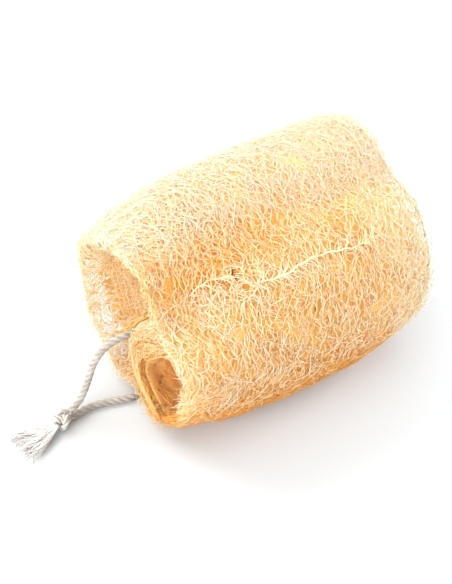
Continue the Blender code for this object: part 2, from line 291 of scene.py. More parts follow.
def fibre_material(name, colours, glow, through, shine=FIBRE_SHINE):
    """Dried plant fibre: each strand's own tone with its painted light and shade, from the "tone" attribute,
    with blotches and fine bumps.

    glow is the colour of the light that comes through a strand, and through the share of light that does.
    """
    made, tree, shader = new_material(name, FIBRE_ROUGHNESS, shine=shine)
    tone = tree.nodes.new("ShaderNodeAttribute")
    tone.attribute_name = "tone"
    blotches = tree.nodes.new("ShaderNodeMath")
    blotches.operation = "MULTIPLY_ADD"
    blotches.inputs[1].default_value = BLOTCH_SPREAD
    blotches.inputs[2].default_value = -BLOTCH_SPREAD / 2
    tree.links.new(noise_node(tree, 160.0), blotches.inputs[0])
    total = tree.nodes.new("ShaderNodeMath")
    total.operation = "ADD"
    tree.links.new(tone.outputs["Fac"], total.inputs[0])
    tree.links.new(blotches.outputs["Value"], total.inputs[1])
    tree.links.new(ramp_node(tree, total.outputs["Value"], colours), shader.inputs["Base Color"])
    add_bump(tree, shader, noise_node(tree, 2600.0, 1.0), 0.2)
    passing = tree.nodes.new("ShaderNodeBsdfTranslucent")
    passing.inputs["Color"].default_value = (*glow, 1.0)
    both = tree.nodes.new("ShaderNodeMixShader")
    both.inputs["Fac"].default_value = through
    tree.links.new(shader.outputs["BSDF"], both.inputs[1])
    tree.links.new(passing.outputs["BSDF"], both.inputs[2])
    tree.links.new(both.outputs["Shader"], tree.nodes["Material Output"].inputs["Surface"])
    return made


def cotton_material(name, dark, pale):
    made, tree, shader = new_material(name, 0.85, sheen=0.3)
    colour = ramp_node(tree, noise_node(tree, 220.0, 3.0), (dark, pale), 0.3, 0.7)
    tree.links.new(colour, shader.inputs["Base Color"])
    add_bump(tree, shader, noise_node(tree, 3200.0, 2.0), 0.4)
    return made


# ---------------------------------------------------------------- the wall's surface


def surface_table():
    """The outer wall's distance from the axis, for rows along the gourd and columns round it."""
    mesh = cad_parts["outer_wall"].data
    corners = [vertex.co for vertex in mesh.vertices]
    tree = BVHTree.FromPolygons(corners, [tuple(face.vertices) for face in mesh.polygons])
    table = np.zeros((TABLE_ROWS, TABLE_COLUMNS))
    for row in range(TABLE_ROWS):
        x = NEAR_END + TABLE_INSET + (LENGTH - 2 * TABLE_INSET) * row / (TABLE_ROWS - 1)
        for column in range(TABLE_COLUMNS):
            angle = TAU * column / TABLE_COLUMNS
            outward = Vector((0, -math.cos(angle), math.sin(angle)))
            hit = tree.ray_cast(Vector((x, 0, AXIS_HEIGHT)) + outward * RAY_START, -outward)
            table[row, column] = RAY_START - hit[3]
    beside = [np.roll(table, step, axis=1) for step in (-2, -1, 0, 1, 2)]
    middle = np.median(beside, axis=0)
    table = np.where(table < middle - TABLE_DENT, middle, table)
    for _ in range(2):
        table = (np.roll(table, 1, axis=1) + 2 * table + np.roll(table, -1, axis=1)) / 4
    return table


SURFACE = surface_table()


def wall_radius(x, angle):
    """The wall's distance from the axis at these places. Angles are in radians."""
    row = np.clip((x - NEAR_END) / LENGTH, 0, 1) * (TABLE_ROWS - 1)
    column = np.mod(angle / TAU, 1.0) * TABLE_COLUMNS
    row_low = np.minimum(row.astype(int), TABLE_ROWS - 2)
    column_low = column.astype(int) % TABLE_COLUMNS
    column_high = (column_low + 1) % TABLE_COLUMNS
    down = row - row_low
    over = column - np.floor(column)
    near = SURFACE[row_low, column_low] * (1 - over) + SURFACE[row_low, column_high] * over
    beyond = SURFACE[row_low + 1, column_low] * (1 - over) + SURFACE[row_low + 1, column_high] * over
    return near * (1 - down) + beyond * down


def from_axis(x, angle, distance):
    """Points this far from the axis but above the floor, and the direction away from the axis there."""
    outward = np.stack([np.zeros_like(angle), -np.cos(angle), np.sin(angle)], axis=-1)
    points = outward * distance[..., None]
    points[..., 0] = x
    points[..., 2] = np.maximum(points[..., 2] + AXIS_HEIGHT, FLOOR_CLEARANCE)
    return points, outward


def on_wall(x, angle, depth):
    """Points at a depth below the outside of the wall, and the direction away from the axis there."""
    return from_axis(x, angle, wall_radius(x, angle) - depth)


def angle_of(points):
    """The angle round the gourd of these points, in radians."""
    return np.arctan2(points[..., 2] - AXIS_HEIGHT, -points[..., 1])


# ---------------------------------------------------------------- tones and thin places


def around(degrees, centre, width):
    """1 at this place round the gourd, falling smoothly to 0 about a width away."""
    return np.exp(-(((degrees - centre + 180) % 360 - 180) / width) ** 4)


def rise(share, start, width):
    """0 up to the start, and 1 from a width further on. With a width below 0 it rises the other way."""
    return np.clip((share - start) / width, 0, 1)


def thin_zone(degrees, share):
    """1 where the wall is worn to an open net: at the back of the near rim and the front of the far one."""
    near = around(degrees, *NEAR_THIN) * rise(share, 0.135, -0.06)
    far = around(degrees, *FAR_THIN) * rise(share, 0.89, 0.09)
    return np.maximum(near, 0.7 * far)


def pore_share(x, angle):
    """How much of the mat is open: all of it at the thin rims that show light, a little elsewhere."""
    degrees = np.degrees(angle)
    share = (x - NEAR_END) / LENGTH
    open_share = 0.012 + thin_zone(degrees, share)
    open_share += 0.15 * rise(share, 0.9, 0.08) + 0.2 * rise(share, 0.06, -0.05)
    open_share += 0.25 * around(degrees, *NEAR_TOP) * rise(share, 0.34, -0.1)
    open_share += 0.9 * around(degrees, *VEIN_BRANCHING) * np.exp(-(((share - 0.285) / 0.018) ** 2))
    return open_share


def painted_light_and_shade_tone(x, angle):
    """How much paler the fibre is painted here for light and shade: painted light on top and towards the far
    end (not on its base), painted shade underneath (less of it at the near end) and in the fold.
    """
    degrees = np.degrees(angle)
    share = (x - NEAR_END) / LENGTH
    top = 0.48 * around(degrees, *PAINTED_LIGHT_ON_TOP)
    base = 1.15 * around(degrees, *PAINTED_SHADE_UNDERNEATH)
    base = base * (1 - 0.75 * around(degrees, *LESS_PAINTED_SHADE_AT_NEAR_END) * rise(share, 0.11, -0.05))
    fold = 0.30 * around(degrees, *PAINTED_SHADE_IN_FOLD) * (1 - 0.9 * rise(share, 0.45, 0.25))
    end = 0.7 * rise(share, 0.74, 0.22) * (1 - around(degrees, *FAR_END_BASE))
    return top + end - base - fold


def thinned(rng, group, left):
    """The group without most of its strands in the thin zones: this share of them is left there."""
    middle = group[0][:, group[0].shape[1] // 2]
    zone = thin_zone(np.degrees(angle_of(middle)), (middle[:, 0] - NEAR_END) / LENGTH)
    keep = rng.uniform(size=len(middle)) > zone * (1 - left)
    return tuple(values[keep] for values in group)


# ---------------------------------------------------------------- meshes


def linked(name, data):
    """A new object of this data, in the scene."""
    made = bpy.data.objects.new(name, data)
    bpy.context.scene.collection.objects.link(made)
    return made


def unit(vectors):
    lengths = np.linalg.norm(vectors, axis=-1, keepdims=True)
    return vectors / np.maximum(lengths, 1e-12)


def mesh_object(name, points, corners, starts, tones, material):
    """An object of these points. corners lists the faces' points in turn, starts where each face begins."""
    mesh = bpy.data.meshes.new(name)
    mesh.vertices.add(len(points))
    mesh.vertices.foreach_set("co", points.astype(np.float32).ravel())
    mesh.loops.add(len(corners))
    mesh.loops.foreach_set("vertex_index", corners.astype(np.int32))
    mesh.polygons.add(len(starts))
    mesh.polygons.foreach_set("loop_start", starts.astype(np.int32))
    mesh.update(calc_edges=True)
    attribute = mesh.attributes.new("tone", "FLOAT", "POINT")
    attribute.data.foreach_set("value", tones.astype(np.float32))
    mesh.materials.append(material)
    return linked(name, mesh)


def strand_object(name, groups, material, sides):
    """One mesh of closed round strands. Their tones also carry the painted light and shade of their places on
    the gourd.
    """
    turns = TAU * np.arange(sides) / sides + TAU / 4
    points, tones, quads, caps = [], [], [], []
    base = 0
    for spine, radii, own_tones, outward in groups:
        count, steps = spine.shape[:2]
        along = unit(np.gradient(spine, axis=1))
        side = unit(np.cross(along, outward))
        up = np.cross(side, along)
        ring = side[:, :, None] * np.cos(turns)[:, None] + up[:, :, None] * np.sin(turns)[:, None]
        ring = spine[:, :, None] + ring * radii[:, :, None, None]
        ring[..., 2] = np.maximum(ring[..., 2], LOWEST_SKIN)
        points.append(ring.reshape(-1, 3))
        middle = spine[:, steps // 2]
        # Painted light and shade of the strand's place, added to its own tone
        tones.append(np.repeat(own_tones + painted_light_and_shade_tone(middle[:, 0], angle_of(middle)), steps * sides))
        index = base + np.arange(count * steps * sides).reshape(count, steps, sides)
        here, ahead = index[:, :-1], index[:, 1:]
        beside_here, beside_ahead = np.roll(here, -1, axis=2), np.roll(ahead, -1, axis=2)
        quads.append(np.stack([here, ahead, beside_ahead, beside_here], axis=-1).reshape(-1, 4))
        caps += [index[:, 0].reshape(-1, sides), index[:, -1, ::-1].reshape(-1, sides)]
        base += count * steps * sides
    quads, caps = np.concatenate(quads), np.concatenate(caps)
    corners = np.concatenate([quads.ravel(), caps.ravel()])
    starts = np.concatenate([4 * np.arange(len(quads)), quads.size + sides * np.arange(len(caps))])
    return mesh_object(name, np.concatenate(points), corners, starts, np.concatenate(tones), material)


def sheet_object(name, outside, inside, kept, material, tone):
    """One closed thin sheet between two grids of points, with the cells that aren't kept left open.

    The grids wrap round in their second direction when they have as many columns as kept has.
    """
    rows, columns = outside.shape[:2]
    number = np.arange(rows * columns).reshape(rows, columns)
    wraps = kept.shape[1] == columns
    beside = np.roll(number, -1, axis=1)
    if not wraps:
        number, beside = number[:, :-1], beside[:, :-1]
    layer = rows * columns
    cells = np.stack([number[:-1], number[1:], beside[1:], beside[:-1]], axis=-1)
    before, after = np.roll(kept, 1, axis=1), np.roll(kept, -1, axis=1)
    if not wraps:
        before[:, 0] = False
        after[:, -1] = False
    none = np.zeros((1, kept.shape[1]), bool)
    faces = [cells[kept], cells[kept][:, ::-1] + layer]
    edges = (
        (0, 1, before),
        (1, 2, np.concatenate([kept[1:], none])),
        (2, 3, after),
        (3, 0, np.concatenate([none, kept[:-1]])),
    )
    for start, end, neighbour in edges:
        rim = cells[kept & ~neighbour]
        first, second = rim[:, start], rim[:, end]
        faces.append(np.stack([second, first, first + layer, second + layer], axis=-1))
    points = np.concatenate([outside.reshape(-1, 3), inside.reshape(-1, 3)])
    used, corners = np.unique(np.concatenate(faces), return_inverse=True)
    tones = np.broadcast_to(tone, outside.shape[:2]).reshape(-1)
    tones = np.concatenate([tones, tones])[used]
    starts = np.arange(0, corners.size, 4)
    made = mesh_object(name, points[used], corners.ravel(), starts, tones, material)
    made.data.shade_smooth()
    return made


# ---------------------------------------------------------------- groups of strands


def wander(rng, along, waves):
    """Smooth random offsets for each strand. waves are pairs of a wavelength and an amplitude."""
    count = along.shape[0]
    total = np.zeros_like(along)
    for wavelength, amplitude in waves:
        stretch = rng.uniform(0.7, 1.5, (count, 1))
        phase = rng.uniform(0, TAU, (count, 1))
        size = amplitude * rng.uniform(0.4, 1.4, (count, 1))
        total += size * np.sin(TAU * along / (wavelength * stretch) + phase)
    return total


class Flow:
    """A smooth field of offsets that neighbouring strands share."""

    def __init__(self, rng, shortest, longest, amplitude, count=16):
        directions = unit(rng.normal(size=(count, 3)))
        wavelengths = np.exp(rng.uniform(math.log(shortest), math.log(longest), (count, 1)))
        self.waves = directions * TAU / wavelengths
        self.phases = rng.uniform(0, TAU, count)
        self.sizes = amplitude * wavelengths[:, 0] / wavelengths.mean() / math.sqrt(count / 2)

    def __call__(self, points):
        return np.sin(points @ self.waves.T + self.phases) @ self.sizes


def evenly(steps, first=0.0):
    """Places along a strand, as one row."""
    return np.linspace(first, 1, steps)[None]


def taper(steps, root=0.6, tip=0.3, body=0.25):
    """Shares of the radius along a strand: full in its body, thinner at both ends."""
    t = np.linspace(0, 1, steps)
    growth = np.clip(t / body, 0, 1)
    fall = np.clip((1 - t) / body, 0, 1)
    return np.minimum(root + (1 - root) * growth, tip + (1 - tip) * fall)


def grouped(rng, points, outward, radius, tone, shape=None, thickness=(0.6, 1.3), variety=0.12):
    """A group of strands of random thickness and tone. shape is the taper along a strand."""
    count, steps = points.shape[:2]
    shape = taper(steps) if shape is None else shape
    radii = radius * rng.uniform(*thickness, (count, 1)) * shape[None]
    return points, radii, tone + rng.normal(size=count) * variety, outward


def row_starts(rng, pitch, lengths):
    """Places and lengths of strands that follow each other round the gourd, row after row."""
    found = []
    for x in np.arange(NEAR_END + pitch / 2, FAR_END, pitch):
        angle = rng.uniform(0, TAU)
        travelled = 0.0
        while travelled < TAU * MEAN_RADIUS:
            length = rng.uniform(*lengths)
            found.append((x + rng.normal() * 0.25 * pitch, angle + travelled / MEAN_RADIUS, length))
            travelled += length * ROW_OVERLAP
    return np.array(found)


def ring_group(rng, flow, pitch, lengths, steps, depth, radius, tone, slant=0.0):
    """Strands that run round the gourd, drift together with the flow, and part and meet their neighbours."""
    starts = row_starts(rng, pitch, lengths)
    count = len(starts)
    along = evenly(steps) * starts[:, 2:3]
    angle = starts[:, 1:2] + along / MEAN_RADIUS
    x = np.repeat(starts[:, 0:1], steps, axis=1)
    x = x + (rng.normal(size=(count, 1)) * RING_LEAN + slant) * (along - along[:, -1:] / 2)
    x = x + wander(rng, along, ((8 * MM, 0.45 * pitch), (3.6 * MM, 0.26 * pitch), (2.2 * MM, 0.09 * pitch)))
    x = x + evenly(steps, -1) ** 9 * rng.normal(size=(count, 1)) * pitch
    plain, _ = on_wall(x, angle, 0.0)
    x = x + flow(plain)
    keep = (x.min(axis=1) > NEAR_END - RIM_SLACK) & (x.max(axis=1) < FAR_END + RIM_SLACK)
    below = depth + wander(rng, along, ((11 * MM, 0.30 * MM), (5 * MM, 0.16 * MM)))
    points, outward = on_wall(x, angle, below)
    group = grouped(rng, points, outward, radius, tone, thickness=(0.65, 1.35), variety=0.13)
    return tuple(values[keep] for values in group)


def link_group(rng, flow, count, depth, radius, tone, reach):
    """Short strands that cross between neighbours at a slant, with a bend."""
    t = evenly(5)
    x = rng.uniform(NEAR_END + 0.5 * MM, FAR_END - 0.5 * MM, (count, 1))
    angle = rng.uniform(0, TAU, (count, 1))
    lean = rng.uniform(-1.2, 1.2, (count, 1)) + np.pi / 2 * rng.choice([-1, 1], (count, 1))
    length = rng.uniform(*reach, (count, 1))
    bend = rng.normal(size=(count, 1)) * 0.25 * length * np.sin(np.pi * t)
    run = length * (t - 0.5)
    x = x + run * np.sin(lean) + bend * np.cos(lean)
    angle = angle + (run * np.cos(lean) - bend * np.sin(lean)) / MEAN_RADIUS
    plain, _ = on_wall(x, angle, 0.0)
    x = np.clip(x + flow(plain), NEAR_END, FAR_END)
    below = depth + rng.normal(size=(count, 1)) * 0.35 * MM - 0.25 * MM * np.sin(np.pi * t)
    points, outward = on_wall(x, angle, below)
    return grouped(rng, points, outward, radius, tone, taper(5, 0.7, 0.7), variety=0.13)


def felt_group(
    rng, count, steps, lengths, depth, radius, tone, spread, angles=ALL_ROUND, places=WHOLE_LENGTH, curl=1.0
):
    """Short loose strands lying on the wall, each wandering from its own heading.

    spread is how far headings turn from running round the gourd, in radians.
    """
    x = NEAR_END + LENGTH * rng.uniform(*places, count)
    angle = np.radians(rng.uniform(*angles, count))
    heading = rng.normal(size=count) * spread + np.pi * rng.integers(0, 2, count)
    turning = rng.normal(size=count) * 0.09 * curl
    step = rng.uniform(*lengths, count) / (steps - 1)
    xs, turns = [x], [angle]
    for _ in range(steps - 1):
        heading = heading + turning * step / MM + rng.normal(size=count) * 0.2 * curl
        xs.append(xs[-1] + step * np.sin(heading))
        turns.append(turns[-1] + step * np.cos(heading) / MEAN_RADIUS)
    x = np.clip(np.stack(xs, axis=1), NEAR_END - 0.3 * MM, FAR_END + 0.3 * MM)
    angle = np.stack(turns, axis=1)
    t = evenly(steps, -1)
    lift = rng.uniform(0.0, 0.5 * MM, (count, 1))
    below = depth + rng.normal(size=(count, 1)) * 0.25 * MM - lift * (1 - t * t) + 0.35 * MM * t**6
    points, outward = on_wall(x, angle, below)
    return grouped(rng, points, outward, radius, tone, taper(steps, 0.5, 0.3))


def lengthwise_group(rng, flow, pitch, lengths, steps, depth, radius, tone, angles=ALL_ROUND):
    """Strands that run along the gourd, as on the inner side of its wall."""
    found = []
    first, last = np.radians(angles)
    for angle in np.arange(first, last, pitch / MEAN_RADIUS):
        x = NEAR_END + rng.uniform(-0.5, 0.5) * lengths[0]
        while x < FAR_END:
            length = rng.uniform(*lengths)
            found.append((x, angle + rng.normal() * 0.3 * pitch / MEAN_RADIUS, length))
            x += length * LENGTHWISE_OVERLAP
    starts = np.array(found)
    along = evenly(steps) * starts[:, 2:3]
    x = np.clip(starts[:, 0:1] + along, NEAR_END, FAR_END)
    sway = wander(rng, along, ((12 * MM, 0.7 * pitch), (5 * MM, 0.3 * pitch)))
    sway = sway + rng.normal(size=(len(starts), 1)) * 0.15 * (along - along[:, -1:] / 2)
    angle = starts[:, 1:2] + sway / MEAN_RADIUS
    plain, _ = on_wall(x, angle, 0.0)
    angle = angle + flow(plain) / MEAN_RADIUS
    below = depth + wander(rng, along, ((9 * MM, 0.3 * MM),))
    points, outward = on_wall(x, angle, below)
    return grouped(rng, points, outward, radius, tone, thickness=(0.65, 1.35), variety=0.13)


def fringe_group(rng, count, end, radius, tone):
    """Cut strand ends that stick out past a cut end of the wall."""
    t = evenly(5)
    away = 1.0 if end > 0 else -1.0
    reach = rng.gamma(2.0, 0.65 * MM, (count, 1)).clip(*FRINGE_REACH)
    x = end - away * FRINGE_ROOT + away * (FRINGE_ROOT + reach) * t
    angle = rng.uniform(0, TAU, (count, 1)) + rng.normal(size=(count, 1)) * 0.05 * t
    angle = angle + 0.02 * t * t * rng.normal(size=(count, 1))
    below = rng.uniform(-0.3 * MM, FRINGE_THICKNESS, (count, 1))
    below = below + rng.normal(0.6, 0.9, (count, 1)) * MM * t * t
    points, outward = on_wall(x, angle, below)
    return grouped(rng, points, outward, radius, tone, taper(5, 0.9, 0.35), (0.6, 1.2), 0.13)


def rim_group(rng, count, end, radius, tone):
    """Strands that run round a cut end, through the wall's thickness."""
    inwards = 1.0 if end < 0 else -1.0
    along = rng.uniform(8 * MM, 30 * MM, (count, 1)) * evenly(20)
    place = rng.uniform(0.0, 7.0 * MM, (count, 1))
    place = place + wander(rng, along, ((9 * MM, 0.6 * MM), (4 * MM, 0.3 * MM)))
    x = end + inwards * np.maximum(place, -0.8 * MM)
    angle = rng.uniform(0, TAU, (count, 1)) + along / MEAN_RADIUS
    below = rng.uniform(0.2 * MM, 4.2 * MM, (count, 1))
    below = below + wander(rng, along, ((10 * MM, 0.7 * MM), (5 * MM, 0.3 * MM)))
    points, outward = on_wall(x, angle, np.maximum(below, -0.3 * MM))
    return grouped(rng, points, outward, radius, tone)


def rolled_group(
    rng, count, end, radius, tone, inside=(2 * MM, 9 * MM), drop=2.5 * MM, angles=ROLLED_ANGLES
):
    """Strands that come along the outside, turn over a cut end and go in along the inner side.

    inside is how far they go in, and drop how far they sink from the inner side on the way.
    """
    inwards = 1.0 if end < 0 else -1.0
    t = evenly(16)
    reach_out = rng.uniform(2 * MM, 8 * MM, (count, 1))
    reach_in = rng.uniform(*inside, (count, 1))
    turn = rng.uniform(0.35, 0.65, (count, 1))
    before, after = np.clip(1 - t / turn, 0, 1), np.clip((t - turn) / (1 - turn), 0, 1)
    place = reach_out * before**1.6 + reach_in * after**1.6 + rng.uniform(-0.8, 1.2, (count, 1)) * MM
    x = end + inwards * place
    length = reach_out + reach_in
    sway = wander(rng, length * t, ((8 * MM, 0.9 * MM), (3.5 * MM, 0.35 * MM)))
    drift = rng.normal(size=(count, 1)) * 0.6 * length * (t - 0.5)
    angle = np.radians(rng.uniform(*angles, (count, 1))) + (sway + drift) / MEAN_RADIUS
    over = np.clip((t - turn + 0.22) / 0.44, 0, 1)
    below = 0.1 * MM + rng.uniform(3.0 * MM, 5.0 * MM, (count, 1)) * over**2 * (3 - 2 * over) + drop * after
    points, outward = on_wall(x, angle, below)
    outward = unit(outward + np.array([-inwards, 0.0, 0.0]) * 0.7)
    return grouped(rng, points, outward, radius, tone)


def stray_group(rng, count, radius, tone, angles=ALL_ROUND, places=WHOLE_LENGTH):
    """Loose hairs whose tips lift off the wall."""
    t = evenly(7)
    heading = rng.uniform(0, TAU, (count, 1))
    length = rng.uniform(2.5 * MM, 7 * MM, (count, 1))
    x = NEAR_END + LENGTH * rng.uniform(*places, (count, 1))
    angle = np.radians(rng.uniform(*angles, (count, 1)))
    bend = rng.normal(size=(count, 1)) * 0.6
    x = x + length * t * np.sin(heading + bend * t)
    angle = angle + length * t * np.cos(heading + bend * t) / MEAN_RADIUS
    lift = rng.gamma(2.0, 0.55 * MM, (count, 1)).clip(0, STRAY_LIFT)
    x = np.clip(x, NEAR_END - 2.5 * MM, FAR_END + 2.5 * MM)
    points, outward = on_wall(x, angle, 0.2 * MM - lift * t**1.5)
    return grouped(rng, points, outward, radius, tone, taper(7, 1.0, 0.3, 0.5), (0.7, 1.2), 0.1)


def halves(group):
    """The strands of a group that lie mostly in the near half of the gourd, and the rest."""
    near = group[0][..., 0].mean(axis=1) < (NEAR_END + FAR_END) / 2
    return [tuple(values[side] for values in group) for side in (near, ~near)]


# ---------------------------------------------------------------- gourd pieces


def attach(piece, body, slot, *nodes):
    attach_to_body(piece, body)
    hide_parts(*nodes)


def add_strands(name, groups, material, slot, *nodes, sides=3):
    """A strand piece that rides on the gourd and stands for these CAD nodes."""
    attach(strand_object(name, groups, material, sides), "gourd", slot, *nodes)


def kept_cells(rng, places, open_share):
    """Which cells of a sheet stay, when this share of them is open. Pores are a few cells wide."""
    level = Flow(rng, 1.2 * MM, 3.5 * MM, 1.0, 60)(places)
    order = np.argsort(np.argsort(level.ravel())).reshape(level.shape) / level.size
    return order > open_share


def build_mat(material):
    """The wall's felted body: a thin lumpy sheet, closed round its pores, that the strands lie on."""
    rng = np.random.default_rng(10)
    x = NEAR_END + MAT_INSET + (LENGTH - 2 * MAT_INSET) * np.arange(MAT_ROWS + 1) / MAT_ROWS
    angle = TAU * np.arange(MAT_COLUMNS) / MAT_COLUMNS
    x, angle = np.meshgrid(x, angle, indexing="ij")
    lumps, ripples = Flow(rng, 8 * MM, 24 * MM, 0.35 * MM), Flow(rng, 1.8 * MM, 4.5 * MM, 0.2 * MM, 30)
    plain, _ = on_wall(x, angle, 0.0)
    depth = MAT_DEPTH + lumps(plain) + ripples(plain)
    jitter = 0.2 * MM
    x = x + rng.uniform(-jitter, jitter, x.shape)
    angle = angle + rng.uniform(-jitter, jitter, x.shape) / MEAN_RADIUS
    outside, _ = on_wall(x, angle, depth)
    inside, _ = on_wall(x, angle, depth + SHEET_THICKNESS)
    inside[..., 2] = np.maximum(inside[..., 2], outside[..., 2].clip(max=0.6 * MM) + 0.2 * MM)
    kept = kept_cells(rng, plain[:-1], pore_share((x[:-1] + x[1:]) / 2, angle[:-1]))
    # The mat's tone carries the painted light and shade of its place, made stronger
    tone = 0.35 + 1.1 * painted_light_and_shade_tone(x, angle)
    piece = sheet_object("wall_mat", outside, inside, kept, material, tone)
    attach(piece, "gourd", "luffa_inner_fibre", "outer_wall")


def build_wall(pale, warm):
    """The net of the outer wall, layer by layer from the outside, then loose felt and the two cut rims."""
    rng = np.random.default_rng(11)
    outer, inner = ("luffa_fibre", "outer_wall"), ("luffa_inner_fibre", "outer_wall")
    ring_lengths = (10 * MM, 30 * MM)
    flow = Flow(rng, 7 * MM, 30 * MM, 0.9 * MM)
    group = ring_group(
        rng, flow, 1.35 * MM, ring_lengths, steps=26, depth=0.4 * MM, radius=0.135 * MM, tone=0.78
    )
    for end, half in zip(("near", "far"), halves(group)):
        add_strands(f"wall_outer_rings_{end}", [half], pale, *outer, sides=4)
    flow = Flow(rng, 7 * MM, 30 * MM, 1.1 * MM)
    group = ring_group(
        rng, flow, 1.4 * MM, ring_lengths, steps=24, depth=0.8 * MM, radius=0.14 * MM, tone=0.55, slant=0.1
    )
    add_strands("wall_middle_rings", [thinned(rng, group, left=0.2)], warm, *outer)
    curls = felt_group(
        rng, 5000, 7, (2 * MM, 6 * MM), depth=0.4 * MM, radius=0.11 * MM, tone=0.75, spread=0.9, curl=2.8
    )
    links = link_group(
        rng, flow, 3000, depth=0.9 * MM, radius=0.13 * MM, tone=0.6, reach=(1.2 * MM, 3.2 * MM)
    )
    curls, links = thinned(rng, curls, left=0.2), thinned(rng, links, left=0.6)
    for end, curl_half, link_half in zip(("near", "far"), halves(curls), halves(links)):
        add_strands(f"wall_curls_{end}", [curl_half], pale, *outer, sides=4)
        add_strands(f"wall_links_{end}", [link_half], warm, *outer)
    lengths = lengthwise_group(
        rng, flow, 2.0 * MM, (16 * MM, 40 * MM), steps=20, depth=2.8 * MM, radius=0.18 * MM, tone=0.5
    )
    inner_rings = ring_group(
        rng, flow, 1.5 * MM, ring_lengths, steps=22, depth=2.9 * MM, radius=0.16 * MM, tone=0.75
    )
    inner_rings = thinned(rng, inner_rings, left=0.1)
    add_strands("wall_inner_lengths", [lengths], warm, *inner)
    add_strands("wall_inner_rings", [inner_rings], warm, *inner)
    felt_lengths = (5 * MM, 14 * MM)
    felt = felt_group(
        rng, 2400, 10, felt_lengths, depth=0.0, radius=0.125 * MM, tone=0.85, spread=0.7, curl=1.6
    )
    roof = felt_group(
        rng, 2600, 10, felt_lengths, 0.1 * MM, 0.125 * MM, 0.85, spread=0.5, angles=(72, 168), curl=1.3
    )
    felt = thinned(rng, felt, left=0.25)
    hairs = stray_group(rng, 1300, radius=0.11 * MM, tone=0.85)
    add_strands("wall_felt", [felt, hairs], pale, *outer)
    add_strands("roof_felt", [roof], pale, *outer)
    rims = (
        ("near_rim", NEAR_END, 200, (-60, 190), (0.0, 0.07)),
        ("far_rim", FAR_END, 420, (-70, 170), (0.90, 1.0)),
    )
    for name, end, hair_count, angles, places in rims:
        groups = [
            fringe_group(rng, 700, end, radius=0.11 * MM, tone=0.75),
            rim_group(rng, 180, end, radius=0.15 * MM, tone=0.65),
            rolled_group(rng, 260, end, radius=0.145 * MM, tone=0.65),
        ]
        groups[1:] = [thinned(rng, group, left=0.25) for group in groups[1:]]
        groups.append(stray_group(rng, hair_count, 0.11 * MM, 0.7, angles, places))
        add_strands(name, groups, pale, *outer)


def build_linings(warm, clear):
    """The inner lengthwise nets of the three channels."""
    rng = np.random.default_rng(12)
    for name, span in LINING_SPANS.items():
        flow = Flow(rng, 9 * MM, 30 * MM, 1.4 * MM)
        lengths = lengthwise_group(
            rng, flow, 2.6 * MM, (14 * MM, 34 * MM), 18, 3.6 * MM, radius=0.16 * MM, tone=0.5, angles=span
        )
        count = int(1600 * ((span[1] - span[0]) / 360.0))
        felt = felt_group(
            rng, count, 9, (8 * MM, 18 * MM), 4.2 * MM, 0.14 * MM, 0.5, 0.6, angles=span, places=(0.02, 0.98)
        )
        groups = [thinned(rng, group, left=0.15) for group in (lengths, felt)]
        # The upper channel's lining is painted lighter than the other two, as painted light inside that
        # channel
        material = clear if name == "lining_upper" else warm
        add_strands(name + "_net", groups, material, "luffa_inner_fibre", name)


# ---------------------------------------------------------------- webs and core


def curve_point(before, start, end, after, t):
    """A place on the smooth curve through four points, between the middle two, and the direction there."""
    first = end - before
    second = 2 * before - 5 * start + 4 * end - after
    third = 3 * start - before - 3 * end + after
    place = 0.5 * (2 * start + first * t + second * t**2 + third * t**3)
    return place, first + 2 * second * t + 3 * third * t**2


def web_point(x, share, aside=0.0, below=WEB_CLEARANCE):
    """A point of the web that closes the front channel, from the front fold (share 0) to the lower wall (1).

    aside is how far it stands from the web's middle, away from the front channel, and below is how deep
    under the outside it stays.
    """
    knots = len(WEB_ROUTE) + 1
    ends = []
    for angle, depth in zip(WEB_ANGLES, WEB_DEPTHS):
        point, _ = on_wall(x, np.full_like(x, math.radians(angle)), depth)
        ends.append(point[..., 1:])
    base_angle = math.radians(WEB_ANGLES[1])
    scale = wall_radius(x, np.full_like(x, base_angle))
    scale = scale / wall_radius(np.array(NEAR_END), np.array(base_angle))
    inner = [np.stack([y * scale, AXIS_HEIGHT + z * scale], axis=-1) for y, z in WEB_ROUTE]
    points = [ends[0]] + inner + [ends[1]]
    points = [2 * points[0] - points[1]] + points + [2 * points[-1] - points[-2]]
    points = np.stack(points, axis=0)
    place = np.clip(share, 0.0, 1.0) * knots
    span = np.minimum(place.astype(int), knots - 1)

    def knot(offset):
        return np.take_along_axis(points, (span + offset)[None, ..., None], axis=0)[0]

    route, slope = curve_point(*(knot(offset) for offset in range(4)), (place - span)[..., None])
    slope = unit(slope)
    away = np.stack([-slope[..., 1], slope[..., 0]], axis=-1)
    axis = np.array([0.0, AXIS_HEIGHT])
    radial = route + away * np.asarray(aside)[..., None] - axis
    distance = np.linalg.norm(radial, axis=-1)
    limit = wall_radius(x, np.arctan2(radial[..., 1], -radial[..., 0])) - below
    route = radial * np.minimum(1.0, limit / distance)[..., None] + axis
    found = np.concatenate([x[..., None], route], axis=-1)
    found[..., 2] = np.maximum(found[..., 2], FLOOR_CLEARANCE)
    outward = np.concatenate([np.zeros_like(x)[..., None], away], axis=-1)
    return found, outward


def web_fullness(share):
    """How thick the fibres behind the web are at the gourd's near end: most beside the front fold."""
    full = 6.5 * MM + 8.0 * MM * np.exp(-((share / 0.42) ** 4))
    return np.maximum(7 * MM, full * np.clip((1.0 - share) / 0.35, 0, 1))


